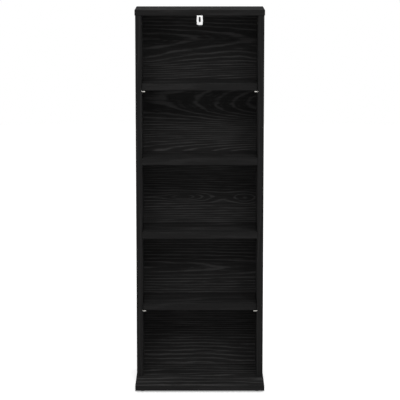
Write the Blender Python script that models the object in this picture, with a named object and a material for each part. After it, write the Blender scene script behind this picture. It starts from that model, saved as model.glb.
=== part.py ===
"""Open media shelf on a projecting base, at its real size in metres, +Z up, front towards -Y.

Two side panels stand on a deep base panel, under a top panel. Cam fittings and dowels hold
the top and two fixed shelves to the sides, and long screws come up through the base. Two
more shelves lie loose on pins, which go into rows of holes. A thin back panel stands in
grooves, and a slotted bracket under the top ties the shelf to a wall.
The origin is on the floor, under the middle of the base.
"""

import math

import bmesh
import bpy
from mathutils import Matrix, Vector

# Overall sizes
BASE_WIDTH = 0.350
BASE_DEPTH = 0.270
CARCASS_DEPTH = 0.170
SIDE_HEIGHT = 0.993

# Boards
BASE_THICKNESS = 0.015
TOP_THICKNESS = 0.015
SIDE_THICKNESS = 0.016
SHELF_THICKNESS = 0.018
BACK_THICKNESS = 0.003
EDGE_CHAMFER = 0.0005
SIDE_INSET = 0.0015
BACK_INSET = 0.012
GROOVE_DEPTH = 0.006

# Play around a loose shelf
SHELF_SETBACK = 0.010
SHELF_END_PLAY = 0.001
SHELF_REAR_PLAY = 0.0015

# Clearances that every fit shares
SEAT_GAP = 0.0003
CUT_OVERRUN = 0.002
MERGE_DISTANCE = 0.000001

# Shelf pins and the rows of holes that take them
PIN_SHANK_RADIUS = 0.0022
PIN_SHANK_LENGTH = 0.009
PIN_STUB_RADIUS = 0.003
PIN_STUB_LENGTH = 0.0095
PIN_CHAMFER = 0.0005
PIN_INSET = 0.020
HOLE_PITCH = 0.032
HOLES_EACH_WAY = 2

# Cam locks, whose bolt axis lies in the middle of the board that holds them
CAM_RADIUS = 0.0075
CAM_SETBACK = 0.024
CAM_BEYOND_AXIS = 0.0045
CAM_FACE_RECESS = 0.0003
CAM_PULL = 0.0014
CAM_CROSS_LENGTH = 0.007
CAM_CROSS_WIDTH = 0.0014
CAM_CROSS_DEPTH = 0.0016
CAM_MOUTH_ANGLE = math.radians(140)
CAM_RUNOUT_ANGLE = math.radians(35)
CAM_SPIRAL_STEPS = 6

# Cam bolts
BOLT_BORE_RADIUS = 0.004
BOLT_THREAD_RADIUS = 0.0025
BOLT_THREAD_LENGTH = 0.0095
BOLT_COLLAR_LENGTH = 0.0015
BOLT_SHAFT_RADIUS = 0.0027
BOLT_NECK_RADIUS = 0.0014
BOLT_NECK_LENGTH = 0.007
BOLT_HEAD_RADIUS = 0.0031
BOLT_HEAD_STEPS = 4
BOLT_TIP = 0.001

# Wooden dowels
DOWEL_RADIUS = 0.004
DOWEL_IN_FACE = 0.010
DOWEL_IN_END = 0.020
DOWEL_CHAMFER = 0.001

# Places of the fittings, counted from the carcass front and from the back panel
CAM_INSET = 0.046
DOWEL_INSET = 0.042

# Long screws that come up through the base
SCREW_HEAD_RADIUS = 0.005
SCREW_HEAD_HEIGHT = 0.0035
SCREW_SHANK_RADIUS = 0.0033
SCREW_CORE_RADIUS = 0.0024
SCREW_IN_SIDE = 0.034
SCREW_POINT = 0.004
SCREW_INSET = 0.037

# Glides under the base, each with its nail
GLIDE_RADIUS = 0.0075
GLIDE_HEIGHT = 0.005
GLIDE_CHAMFER = 0.0012
GLIDE_SIDE_INSET = 0.0195
GLIDE_END_INSET = 0.024
NAIL_RADIUS = 0.001
NAIL_HEAD_RADIUS = 0.0026
NAIL_HEAD_HEIGHT = 0.001
NAIL_HEAD_DEPTH = 0.0022
NAIL_IN_BASE = 0.010
NAIL_POINT = 0.002

# Slotted wall bracket under the top, and its two screws
BRACKET_WIDTH = 0.0164
BRACKET_THICKNESS = 0.002
BRACKET_DROP = 0.035
BRACKET_REACH = 0.030
BRACKET_BEND_RADIUS = 0.003
BRACKET_BEND_STEPS = 4
BRACKET_CORNER = 0.0015
BRACKET_CORNER_STEPS = 2
SLOT_WIDTH = 0.0048
SLOT_LENGTH = 0.0148
SLOT_ABOVE_END = 0.0075
BRACKET_SCREW_RADIUS = 0.0016
BRACKET_SCREW_HEAD_RADIUS = 0.003
BRACKET_SCREW_HEAD_HEIGHT = 0.0017
BRACKET_SCREW_IN_TOP = 0.010
BRACKET_SCREW_POINT = 0.002
BRACKET_SCREW_END_INSET = 0.006
BRACKET_SCREW_SPACING = 0.0125

# Facets round each kind of turned piece, and round the hole that it goes into
SMALL_FACETS = 12
LARGE_FACETS = 24
SHARP_ANGLE = math.radians(35)
ROUND_PROFILE_SHARE = 0.5

# Shelves from the bottom up, with True for one that lies loose on pins
SHELVES = (
    ("lower_adjustable_shelf", True),
    ("lower_fixed_shelf", False),
    ("upper_fixed_shelf", False),
    ("upper_adjustable_shelf", True),
)
SIDES = (("left", -1), ("right", 1))

# Colour, roughness and metallic value of each finish
BLACK_OAK = ((0.022, 0.021, 0.021, 1.0), 0.48, 0.0)
BLACK_BACK = ((0.016, 0.015, 0.015, 1.0), 0.55, 0.0)
NICKEL = ((0.66, 0.65, 0.62, 1.0), 0.25, 1.0)
ZINC = ((0.50, 0.50, 0.49, 1.0), 0.38, 1.0)
WHITE_LACQUER = ((0.84, 0.84, 0.83, 1.0), 0.40, 0.0)
BEECH = ((0.55, 0.38, 0.22, 1.0), 0.70, 0.0)
BLACK_PLASTIC = ((0.012, 0.012, 0.012, 1.0), 0.45, 0.0)

# Levels and faces worked out from the sizes
REAR = BASE_DEPTH / 2
CARCASS_FRONT = REAR - CARCASS_DEPTH
OUTER_X = BASE_WIDTH / 2 - SIDE_INSET
INNER_X = OUTER_X - SIDE_THICKNESS
SIDE_MIDDLE_X = (OUTER_X + INNER_X) / 2
BASE_BOTTOM = GLIDE_HEIGHT + SEAT_GAP
BASE_TOP = BASE_BOTTOM + BASE_THICKNESS
SIDE_BOTTOM = BASE_TOP + SEAT_GAP
SIDE_TOP = SIDE_BOTTOM + SIDE_HEIGHT
TOP_BOTTOM = SIDE_TOP + SEAT_GAP
BACK_REAR = REAR - BACK_INSET
BACK_FRONT = BACK_REAR - BACK_THICKNESS
CLEAR_HEIGHT = (TOP_BOTTOM - BASE_TOP - len(SHELVES) * SHELF_THICKNESS) / (len(SHELVES) + 1)
CAM_Y = CARCASS_FRONT + CAM_INSET
DOWEL_Y = BACK_FRONT - DOWEL_INSET
CAVITY_HALF_HEIGHT = BOLT_HEAD_RADIUS + SEAT_GAP
MOUTH_HALF_SIZE = CAVITY_HALF_HEIGHT + SEAT_GAP

X = Vector((1, 0, 0))
Y = Vector((0, 1, 0))
Z = Vector((0, 0, 1))


def clear_scene():
    for obj in list(bpy.data.objects):
        bpy.data.objects.remove(obj, do_unlink=True)


def shelf_bottom(index):
    """Height of the underside of a shelf, counted from the bottom, with all compartments alike."""
    return BASE_TOP + (index + 1) * CLEAR_HEIGHT + index * SHELF_THICKNESS


def finished(obj, finish):
    """Gives the object a material of its own."""
    colour, roughness, metallic = finish
    material = bpy.data.materials.new(obj.name + "_finish")
    material.use_nodes = True
    shader = material.node_tree.nodes["Principled BSDF"]
    shader.inputs["Base Color"].default_value = colour
    shader.inputs["Roughness"].default_value = roughness
    shader.inputs["Metallic"].default_value = metallic
    material.diffuse_color = colour
    obj.data.materials.append(material)
    return obj


def object_from(name, bm, smooth=False):
    bmesh.ops.recalc_face_normals(bm, faces=bm.faces)
    mesh = bpy.data.meshes.new(name)
    bm.to_mesh(mesh)
    bm.free()
    if smooth:
        mesh.shade_smooth()
        mesh.set_sharp_from_angle(angle=SHARP_ANGLE)
    obj = bpy.data.objects.new(name, mesh)
    bpy.context.scene.collection.objects.link(obj)
    return obj


def turn_to(direction, across=None):
    """Rotation that points local Z along a direction, and local X along another one if given."""
    if across is None:
        return Z.rotation_difference(direction).to_matrix().to_4x4()
    third = direction.cross(across)
    return Matrix((across, third, direction)).transposed().to_4x4()


def place(obj, centre, direction=Z, across=None):
    obj.matrix_world = Matrix.Translation(centre) @ turn_to(direction, across)
    return obj


def add_box(bm, low, high):
    centre = [(a + b) / 2 for a, b in zip(low, high)]
    size = [b - a for a, b in zip(low, high)]
    matrix = Matrix.Translation(centre) @ Matrix.Diagonal((*size, 1))
    bmesh.ops.create_cube(bm, size=1, matrix=matrix)


def add_bore(bm, mouth, inwards, radius, depth, facets=SMALL_FACETS, mouth_radius=None):
    """Cutter of a drilled hole: from just outside its mouth to its depth, along one direction."""
    length = depth + CUT_OVERRUN
    middle = mouth + inwards * (depth - CUT_OVERRUN) / 2
    bmesh.ops.create_cone(
        bm,
        cap_ends=True,
        segments=facets,
        radius1=mouth_radius or radius,
        radius2=radius,
        depth=length,
        matrix=Matrix.Translation(middle) @ turn_to(inwards),
    )


def cut(obj, name, shapes):
    """Cuts shapes that don't touch each other out of an object, all given as one cutter."""
    bm = bmesh.new()
    for add, *values in shapes:
        add(bm, *values)
    cutter = object_from(obj.name + "_" + name, bm)
    cutter.matrix_world = obj.matrix_world
    cutter.hide_render = True
    cutter.display_type = "WIRE"
    modifier = obj.modifiers.new(name, "BOOLEAN")
    modifier.operation = "DIFFERENCE"
    modifier.object = cutter
    return obj


def board(name, low, high, finish=BLACK_OAK):
    """A flat panel between two corners, with its edges eased, and its origin at the frame's origin."""
    bm = bmesh.new()
    add_box(bm, low, high)
    obj = object_from(name, bm)
    eased = obj.modifiers.new("eased_edges", "BEVEL")
    eased.width = EDGE_CHAMFER
    eased.segments = 1
    eased.limit_method = "NONE"
    return finished(obj, finish)


def add_outline(bm, points, low, high):
    """A flat outline of (x, y) points as a prism from one height to another."""
    face = bm.faces.new([bm.verts.new((x, y, low)) for x, y in points])
    raised = bmesh.ops.extrude_face_region(bm, geom=[face])
    moved = [item for item in raised["geom"] if isinstance(item, bmesh.types.BMVert)]
    bmesh.ops.translate(bm, verts=moved, vec=(0, 0, high - low))


def turned(name, profile, finish, facets=SMALL_FACETS, ring=False):
    """A solid of revolution about local Z, from (radius, height) points."""
    bm = bmesh.new()
    verts = [bm.verts.new((radius, 0, height)) for radius, height in profile]
    pairs = list(zip(verts, verts[1:]))
    if ring:
        pairs.append((verts[-1], verts[0]))
    edges = [bm.edges.new(pair) for pair in pairs]
    bmesh.ops.spin(
        bm,
        geom=verts + edges,
        cent=(0, 0, 0),
        axis=(0, 0, 1),
        angle=2 * math.pi,
        steps=facets,
        use_merge=True,
    )
    bmesh.ops.remove_doubles(bm, verts=bm.verts, dist=MERGE_DISTANCE)
    return finished(object_from(name, bm, smooth=True), finish)


def arc(centre, radius, start, end, steps):
    """Points of an arc about a centre, both ends included."""
    angles = [start + (end - start) * step / steps for step in range(steps + 1)]
    return [
        (centre[0] + radius * math.cos(angle), centre[1] + radius * math.sin(angle))
        for angle in angles
    ]


def pin_height(index):
    return shelf_bottom(index) - SEAT_GAP - PIN_STUB_RADIUS


def pin_columns():
    """Front and rear places of the pins, each the same way in from its end of the compartment."""
    return (("front", CARCASS_FRONT + PIN_INSET), ("rear", BACK_FRONT - PIN_INSET))


def base_screw_places():
    return (("front", CARCASS_FRONT + SCREW_INSET), ("rear", BACK_FRONT - SCREW_INSET))


def side_joints():
    """Each fixed shelf, with the height of its middle."""
    for index, (name, loose) in enumerate(SHELVES):
        if not loose:
            yield name, shelf_bottom(index) + SHELF_THICKNESS / 2


def make_side(side, sign):
    inner = INNER_X * sign
    outwards = X * sign
    low = (min(inner, OUTER_X * sign), CARCASS_FRONT, SIDE_BOTTOM)
    high = (max(inner, OUTER_X * sign), REAR, SIDE_TOP)
    panel = board(side + "_side_panel", low, high)
    middle = SIDE_MIDDLE_X * sign
    groove_bottom = (INNER_X + GROOVE_DEPTH) * sign
    groove_mouth = (INNER_X - CUT_OVERRUN) * sign
    cut(panel, "back_groove", [(
        add_box,
        (min(groove_bottom, groove_mouth), BACK_FRONT - SEAT_GAP, SIDE_BOTTOM - CUT_OVERRUN),
        (max(groove_bottom, groove_mouth), BACK_REAR + SEAT_GAP, SIDE_TOP + CUT_OVERRUN),
    )])
    pin_hole = PIN_SHANK_RADIUS + SEAT_GAP
    cut(panel, "pin_holes", [
        (
            add_bore,
            Vector((inner, y, pin_height(index) + step * HOLE_PITCH)),
            outwards,
            pin_hole,
            PIN_SHANK_LENGTH + SEAT_GAP,
        )
        for index, (_, loose) in enumerate(SHELVES)
        if loose
        for _, y in pin_columns()
        for step in range(-HOLES_EACH_WAY, HOLES_EACH_WAY + 1)
    ])
    cut(panel, "shelf_joint_holes", [
        (add_bore, Vector((inner, y, height)), outwards, radius + SEAT_GAP, depth + SEAT_GAP)
        for _, height in side_joints()
        for y, radius, depth in (
            (CAM_Y, BOLT_THREAD_RADIUS, BOLT_THREAD_LENGTH),
            (DOWEL_Y, DOWEL_RADIUS, DOWEL_IN_FACE),
        )
    ])
    cut(panel, "cam_bore", [(
        add_bore,
        Vector((inner, CAM_Y, SIDE_TOP - CAM_SETBACK)),
        outwards,
        CAM_RADIUS + SEAT_GAP,
        SIDE_THICKNESS / 2 + CAM_BEYOND_AXIS + SEAT_GAP,
        LARGE_FACETS,
    )])
    cut(panel, "end_bores", [
        (add_bore, Vector((middle, CAM_Y, SIDE_TOP)), -Z, BOLT_BORE_RADIUS, CAM_SETBACK),
        (
            add_bore,
            Vector((middle, DOWEL_Y, SIDE_TOP)),
            -Z,
            DOWEL_RADIUS + SEAT_GAP,
            DOWEL_IN_END + SEAT_GAP,
        ),
        *(
            (
                add_bore,
                Vector((middle, y, SIDE_BOTTOM)),
                Z,
                SCREW_CORE_RADIUS + SEAT_GAP,
                SCREW_IN_SIDE + SEAT_GAP,
            )
            for _, y in base_screw_places()
        ),
    ])
    return panel


def make_top():
    panel = board(
        "top_panel",
        (-BASE_WIDTH / 2, CARCASS_FRONT, TOP_BOTTOM),
        (BASE_WIDTH / 2, REAR, TOP_BOTTOM + TOP_THICKNESS),
    )
    groove_end = INNER_X + GROOVE_DEPTH
    cut(panel, "back_groove", [(
        add_box,
        (-groove_end, BACK_FRONT - SEAT_GAP, TOP_BOTTOM - CUT_OVERRUN),
        (groove_end, BACK_REAR + SEAT_GAP, TOP_BOTTOM + GROOVE_DEPTH),
    )])
    joint_holes = [
        (
            add_bore,
            Vector((SIDE_MIDDLE_X * sign, y, TOP_BOTTOM)),
            Z,
            radius + SEAT_GAP,
            depth + SEAT_GAP,
        )
        for _, sign in SIDES
        for y, radius, depth in (
            (CAM_Y, BOLT_THREAD_RADIUS, BOLT_THREAD_LENGTH),
            (DOWEL_Y, DOWEL_RADIUS, DOWEL_IN_FACE),
        )
    ]
    bracket_holes = [
        (
            add_bore,
            Vector((0, y, TOP_BOTTOM)),
            Z,
            BRACKET_SCREW_RADIUS + SEAT_GAP,
            BRACKET_SCREW_IN_TOP + SEAT_GAP,
        )
        for _, y in bracket_screw_places()
    ]
    return cut(panel, "joint_holes", joint_holes + bracket_holes)


def glide_places():
    across = BASE_WIDTH / 2 - GLIDE_SIDE_INSET
    along = BASE_DEPTH / 2 - GLIDE_END_INSET
    for end, y in (("front", -along), ("rear", along)):
        for side, sign in SIDES:
            yield end + "_" + side, across * sign, y


def make_base():
    panel = board(
        "base_panel",
        (-BASE_WIDTH / 2, -BASE_DEPTH / 2, BASE_BOTTOM),
        (BASE_WIDTH / 2, REAR, BASE_TOP),
    )
    groove_end = INNER_X + GROOVE_DEPTH
    cut(panel, "back_groove", [(
        add_box,
        (-groove_end, BACK_FRONT - SEAT_GAP, BASE_TOP - GROOVE_DEPTH),
        (groove_end, BACK_REAR + SEAT_GAP, BASE_TOP + CUT_OVERRUN),
    )])
    screw_holes = [
        (
            add_bore,
            Vector((SIDE_MIDDLE_X * sign, y, BASE_BOTTOM)),
            Z,
            SCREW_SHANK_RADIUS + SEAT_GAP,
            BASE_THICKNESS + CUT_OVERRUN,
        )
        for _, sign in SIDES
        for _, y in base_screw_places()
    ]
    nail_holes = [
        (add_bore, Vector((x, y, BASE_BOTTOM)), Z, NAIL_RADIUS + SEAT_GAP, NAIL_IN_BASE + SEAT_GAP)
        for _, x, y in glide_places()
    ]
    cut(panel, "drilled_holes", screw_holes + nail_holes)
    # The cutter starts below the board, so its cone is wider there, at the same slope
    slope = (SCREW_HEAD_RADIUS - SCREW_SHANK_RADIUS) / SCREW_HEAD_HEIGHT
    sink_mouth = SCREW_HEAD_RADIUS + SEAT_GAP + slope * (CUT_OVERRUN + SEAT_GAP)
    return cut(panel, "countersinks", [
        (
            add_bore,
            Vector((SIDE_MIDDLE_X * sign, y, BASE_BOTTOM)),
            Z,
            SCREW_SHANK_RADIUS + SEAT_GAP,
            SCREW_HEAD_HEIGHT + SEAT_GAP,
            SMALL_FACETS,
            sink_mouth,
        )
        for _, sign in SIDES
        for _, y in base_screw_places()
    ])


def make_back():
    across = INNER_X + GROOVE_DEPTH - SEAT_GAP
    reach = GROOVE_DEPTH - SEAT_GAP
    return board(
        "back_panel",
        (-across, BACK_FRONT, BASE_TOP - reach),
        (across, BACK_REAR, TOP_BOTTOM + reach),
        BLACK_BACK,
    )


def make_fixed_shelf(name, bottom):
    end = INNER_X - SEAT_GAP
    middle = bottom + SHELF_THICKNESS / 2
    shelf = board(
        name,
        (-end, CARCASS_FRONT, bottom),
        (end, BACK_FRONT - SEAT_GAP, bottom + SHELF_THICKNESS),
    )
    cut(shelf, "cam_bores", [
        (
            add_bore,
            Vector(((end - CAM_SETBACK) * sign, CAM_Y, bottom)),
            Z,
            CAM_RADIUS + SEAT_GAP,
            SHELF_THICKNESS / 2 + CAM_BEYOND_AXIS + SEAT_GAP,
            LARGE_FACETS,
        )
        for _, sign in SIDES
    ])
    return cut(shelf, "end_bores", [
        (add_bore, Vector((end * sign, y, middle)), X * -sign, radius, depth)
        for _, sign in SIDES
        for y, radius, depth in (
            (CAM_Y, BOLT_BORE_RADIUS, CAM_SETBACK),
            (DOWEL_Y, DOWEL_RADIUS + SEAT_GAP, DOWEL_IN_END + SEAT_GAP),
        )
    ])


def make_loose_shelf(name, bottom):
    """A shelf with its origin at its own middle, from where it slides forwards off its pins."""
    end = INNER_X - SHELF_END_PLAY
    front = CARCASS_FRONT + SHELF_SETBACK
    rear = BACK_FRONT - SHELF_REAR_PLAY
    half_depth = (rear - front) / 2
    half_thickness = SHELF_THICKNESS / 2
    shelf = board(name, (-end, -half_depth, -half_thickness), (end, half_depth, half_thickness))
    return place(shelf, (0, (rear + front) / 2, bottom + half_thickness))


def make_pin(name, seat, inwards):
    """A turned pin: shank in the side, thin collar at its face, and the stub that carries the shelf."""
    profile = (
        (0, -PIN_SHANK_LENGTH),
        (PIN_SHANK_RADIUS - PIN_CHAMFER, -PIN_SHANK_LENGTH),
        (PIN_SHANK_RADIUS, PIN_CHAMFER - PIN_SHANK_LENGTH),
        (PIN_SHANK_RADIUS, SEAT_GAP),
        (PIN_STUB_RADIUS, SEAT_GAP),
        (PIN_STUB_RADIUS, PIN_STUB_LENGTH - PIN_CHAMFER),
        (PIN_STUB_RADIUS - PIN_CHAMFER, PIN_STUB_LENGTH),
        (0, PIN_STUB_LENGTH),
    )
    return place(turned(name, profile, NICKEL), seat, inwards)


def make_cam_bolt(name, seat, direction):
    """A turned bolt: thread in the face board, collar, shaft, and a ball head inside the cam."""
    shaft_end = CAM_SETBACK - BOLT_NECK_LENGTH
    collar_radius = BOLT_BORE_RADIUS - SEAT_GAP
    collar_end = 2 * SEAT_GAP + BOLT_COLLAR_LENGTH
    head_centre = (0, CAM_SETBACK + SEAT_GAP)
    neck_angle = math.asin(BOLT_NECK_RADIUS / BOLT_HEAD_RADIUS) - math.pi / 2
    head = arc(head_centre, BOLT_HEAD_RADIUS, neck_angle, math.pi / 2, BOLT_HEAD_STEPS)
    profile = [
        (0, -BOLT_THREAD_LENGTH),
        (BOLT_THREAD_RADIUS - BOLT_TIP, -BOLT_THREAD_LENGTH),
        (BOLT_THREAD_RADIUS, BOLT_TIP - BOLT_THREAD_LENGTH),
        (BOLT_THREAD_RADIUS, SEAT_GAP),
        (collar_radius, SEAT_GAP),
        (collar_radius, collar_end),
        (BOLT_SHAFT_RADIUS, collar_end),
        (BOLT_SHAFT_RADIUS, shaft_end - BOLT_TIP),
        (BOLT_NECK_RADIUS, shaft_end),
        *head[:-1],
        (0, head_centre[1] + BOLT_HEAD_RADIUS),
    ]
    return place(turned(name, profile, ZINC), seat, direction)


def cam_spiral():
    """Outline of the cam's inner track: tight where the bolt head sits, wider towards the mouth."""
    tight = BOLT_HEAD_RADIUS + SEAT_GAP
    points = []
    for step in range(CAM_SPIRAL_STEPS + 1):
        share = step / CAM_SPIRAL_STEPS
        angle = CAM_MOUTH_ANGLE * share
        radius = tight + CAM_PULL * share
        points.append((radius * math.cos(angle), radius * math.sin(angle)))
    return points + arc((0, 0), tight, CAM_MOUTH_ANGLE, 2 * math.pi, LARGE_FACETS // 2)[1:-1]


def cam_slit():
    """Outline of the slit that the bolt's neck runs in, from past the seat round to the mouth."""
    reach = CAM_RADIUS + CUT_OVERRUN
    rim = arc((0, 0), reach, -CAM_RUNOUT_ANGLE, CAM_MOUTH_ANGLE, CAM_SPIRAL_STEPS)
    return [(0, 0), *rim]


def cam_mouth():
    """Outline of the way in for the bolt head, at the far end of the slit."""
    half = MOUTH_HALF_SIZE
    reach = CAM_RADIUS + CUT_OVERRUN
    turn = Matrix.Rotation(CAM_MOUTH_ANGLE, 2)
    corners = ((0, -half), (reach, -half), (reach, half), (0, half))
    return [tuple(turn @ Vector(corner)) for corner in corners]


def cross_outline(length, width):
    """A plus sign, as twelve corners in turn."""
    far, near = length / 2, width / 2
    quarter = ((far, -near), (far, near), (near, near))
    points = []
    for turn_number in range(4):
        turn = Matrix.Rotation(turn_number * math.pi / 2, 2)
        points += [tuple(turn @ Vector(corner)) for corner in quarter]
    return points


def make_cam_lock(name, centre, outwards, to_joint, board_thickness):
    """A cam with its bolt axis at local zero: it closes its spiral on the bolt head as it is turned."""
    face = board_thickness / 2 - CAM_FACE_RECESS
    bm = bmesh.new()
    rim = arc((0, 0), CAM_RADIUS, 0, 2 * math.pi, LARGE_FACETS)[:-1]
    add_outline(bm, rim, -CAM_BEYOND_AXIS, face)
    cam = finished(object_from(name, bm, smooth=True), ZINC)
    place(cam, centre, outwards, to_joint)
    half = CAVITY_HALF_HEIGHT
    slit_half = BOLT_NECK_RADIUS + SEAT_GAP
    cut(cam, "track", [(add_outline, cam_spiral(), -half, half)])
    cut(cam, "mouth", [(add_outline, cam_mouth(), -MOUTH_HALF_SIZE, MOUTH_HALF_SIZE)])
    cut(cam, "slit", [(add_outline, cam_slit(), -slit_half, slit_half)])
    cross = cross_outline(CAM_CROSS_LENGTH, CAM_CROSS_WIDTH)
    return cut(cam, "cross", [
        (add_outline, cross, face - CAM_CROSS_DEPTH, face + CUT_OVERRUN)
    ])


def make_dowel(name, seat, direction):
    """A dowel, counted from the face board's surface, with its longer part in the end of the other."""
    far = DOWEL_IN_END + SEAT_GAP
    profile = (
        (0, -DOWEL_IN_FACE),
        (DOWEL_RADIUS - DOWEL_CHAMFER, -DOWEL_IN_FACE),
        (DOWEL_RADIUS, DOWEL_CHAMFER - DOWEL_IN_FACE),
        (DOWEL_RADIUS, far - DOWEL_CHAMFER),
        (DOWEL_RADIUS - DOWEL_CHAMFER, far),
        (0, far),
    )
    return place(turned(name, profile, BEECH), seat, direction)


def make_joints():
    """Cam lock, bolt and dowel of each end of the top and of the fixed shelves."""
    for side, sign in SIDES:
        inwards = X * -sign
        seat = Vector((SIDE_MIDDLE_X * sign, 0, TOP_BOTTOM))
        end = "top_" + side
        cam_centre = seat + Y * CAM_Y - Z * (CAM_SETBACK + SEAT_GAP)
        make_cam_lock(end + "_cam_lock", cam_centre, inwards, Z, SIDE_THICKNESS)
        make_cam_bolt(end + "_cam_bolt", seat + Y * CAM_Y, -Z)
        make_dowel(end + "_dowel", seat + Y * DOWEL_Y, -Z)
        for shelf, height in side_joints():
            seat = Vector((INNER_X * sign, 0, height))
            end = shelf + "_" + side
            cam_centre = seat + Y * CAM_Y + inwards * (CAM_SETBACK + SEAT_GAP)
            make_cam_lock(end + "_cam_lock", cam_centre, -Z, -inwards, SHELF_THICKNESS)
            make_cam_bolt(end + "_cam_bolt", seat + Y * CAM_Y, inwards)
            make_dowel(end + "_dowel", seat + Y * DOWEL_Y, inwards)


def make_base_screw(name, x, y):
    """A long screw from under the base into the end of a side panel, counted from the base's underside."""
    side_start = BASE_THICKNESS
    tip = BASE_THICKNESS + SEAT_GAP + SCREW_IN_SIDE
    profile = (
        (0, SEAT_GAP),
        (SCREW_HEAD_RADIUS, SEAT_GAP),
        (SCREW_SHANK_RADIUS, SEAT_GAP + SCREW_HEAD_HEIGHT),
        (SCREW_SHANK_RADIUS, side_start),
        (SCREW_CORE_RADIUS, side_start),
        (SCREW_CORE_RADIUS, tip - SCREW_POINT),
        (0, tip),
    )
    return place(turned(name, profile, ZINC), (x, y, BASE_BOTTOM))


def make_glide(name, x, y):
    """A round foot with a sunk middle for the head of its nail."""
    hole = NAIL_RADIUS + SEAT_GAP
    sunk = NAIL_HEAD_RADIUS + SEAT_GAP
    profile = (
        (hole, GLIDE_HEIGHT),
        (hole, NAIL_HEAD_DEPTH + SEAT_GAP),
        (sunk, NAIL_HEAD_DEPTH + SEAT_GAP),
        (sunk, 0),
        (GLIDE_RADIUS - GLIDE_CHAMFER, 0),
        (GLIDE_RADIUS, GLIDE_CHAMFER),
        (GLIDE_RADIUS, GLIDE_HEIGHT),
    )
    glide = turned(name + "_glide", profile, BLACK_PLASTIC, LARGE_FACETS, ring=True)
    place(glide, (x, y, 0))
    shank_top = BASE_BOTTOM + NAIL_IN_BASE
    head_bottom = NAIL_HEAD_DEPTH - NAIL_HEAD_HEIGHT
    nail = (
        (0, head_bottom),
        (NAIL_HEAD_RADIUS, head_bottom),
        (NAIL_HEAD_RADIUS, NAIL_HEAD_DEPTH),
        (NAIL_RADIUS, NAIL_HEAD_DEPTH),
        (NAIL_RADIUS, shank_top - NAIL_POINT),
        (0, shank_top),
    )
    place(turned(name + "_glide_nail", nail, ZINC), (x, y, 0))


def bracket_screw_places():
    """The bracket's screws, counted from the front end of its upper leg."""
    front = BACK_FRONT - SEAT_GAP - BRACKET_REACH + BRACKET_SCREW_END_INSET
    return (("front", front), ("rear", front + BRACKET_SCREW_SPACING))


def bracket_profile():
    """Side view of the bent strip as (y, z), with its outer corner at zero."""
    outer = BRACKET_BEND_RADIUS
    inner = BRACKET_BEND_RADIUS - BRACKET_THICKNESS
    centre = (-outer, -outer)
    quarter = (0, math.pi / 2)
    outside = arc(centre, outer, *quarter, BRACKET_BEND_STEPS)
    inside = arc(centre, inner, *reversed(quarter), BRACKET_BEND_STEPS)
    return [
        (-BRACKET_THICKNESS, -BRACKET_DROP),
        (0, -BRACKET_DROP),
        *outside,
        (-BRACKET_REACH, 0),
        (-BRACKET_REACH, -BRACKET_THICKNESS),
        *inside,
    ]


def slot_outline():
    """The upright slot in the bracket's lower leg: straight sides and round ends, as (x, height)."""
    radius = SLOT_WIDTH / 2
    low = SLOT_ABOVE_END + radius - BRACKET_DROP
    high = low + SLOT_LENGTH - SLOT_WIDTH
    steps = SMALL_FACETS // 2
    return [
        *arc((0, high), radius, 0, math.pi, steps),
        *arc((0, low), radius, math.pi, 2 * math.pi, steps),
    ]


def add_slot(bm):
    """The slot's cutter, upright, through the lower leg from front to rear."""
    before = set(bm.verts)
    add_outline(bm, slot_outline(), -CUT_OVERRUN, BRACKET_THICKNESS + CUT_OVERRUN)
    added = [vert for vert in bm.verts if vert not in before]
    bmesh.ops.rotate(bm, verts=added, matrix=Matrix.Rotation(math.pi / 2, 3, "X"))


def at_strip_end(vert):
    """True at the front end of the strip's upper leg and at the foot of its lower leg."""
    at_front = vert.co.y < MERGE_DISTANCE - BRACKET_REACH
    at_foot = vert.co.z < MERGE_DISTANCE - BRACKET_DROP
    return at_front or at_foot


def make_bracket():
    half = BRACKET_WIDTH / 2
    bm = bmesh.new()
    add_outline(bm, bracket_profile(), -half, half)
    # The side view was drawn flat, so it is stood up: its x becomes y, its y becomes z
    stand_up = Matrix(((0, 0, 1), (1, 0, 0), (0, 1, 0))).to_4x4()
    bmesh.ops.transform(bm, verts=bm.verts, matrix=stand_up)
    corners = [
        edge
        for edge in bm.edges
        if all(at_strip_end(vert) for vert in edge.verts)
        and edge.verts[0].co.x * edge.verts[1].co.x > 0
    ]
    bmesh.ops.bevel(
        bm,
        geom=corners,
        offset=BRACKET_CORNER,
        segments=BRACKET_CORNER_STEPS,
        profile=ROUND_PROFILE_SHARE,
        affect="EDGES",
    )
    bracket = finished(object_from("wall_bracket", bm), WHITE_LACQUER)
    place(bracket, (0, BACK_FRONT - SEAT_GAP, TOP_BOTTOM - SEAT_GAP))
    cut(bracket, "slot", [(add_slot,)])
    # The cutters lie in the bracket's own frame, where its upper face is at zero
    cut(bracket, "screw_holes", [
        (
            add_bore,
            Vector((0, y - (BACK_FRONT - SEAT_GAP), 0)),
            -Z,
            BRACKET_SCREW_RADIUS + SEAT_GAP,
            BRACKET_THICKNESS + CUT_OVERRUN,
        )
        for _, y in bracket_screw_places()
    ])
    for place_name, y in bracket_screw_places():
        make_bracket_screw("bracket_screw_" + place_name, y)
    return bracket


def make_bracket_screw(name, y):
    """A round-headed screw, counted upwards from the bracket's lower face."""
    seat = TOP_BOTTOM - SEAT_GAP - BRACKET_THICKNESS - SEAT_GAP
    dome = arc((0, 0), 1, -math.pi / 2, 0, BRACKET_BEND_STEPS)
    head = [
        (x * BRACKET_SCREW_HEAD_RADIUS, z * BRACKET_SCREW_HEAD_HEIGHT)
        for x, z in dome[1:]
    ]
    tip = TOP_BOTTOM + BRACKET_SCREW_IN_TOP - seat
    profile = [
        (0, -BRACKET_SCREW_HEAD_HEIGHT),
        *head,
        (BRACKET_SCREW_RADIUS, 0),
        (BRACKET_SCREW_RADIUS, tip - BRACKET_SCREW_POINT),
        (0, tip),
    ]
    return place(turned(name, profile, ZINC), (0, y, seat))


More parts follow.
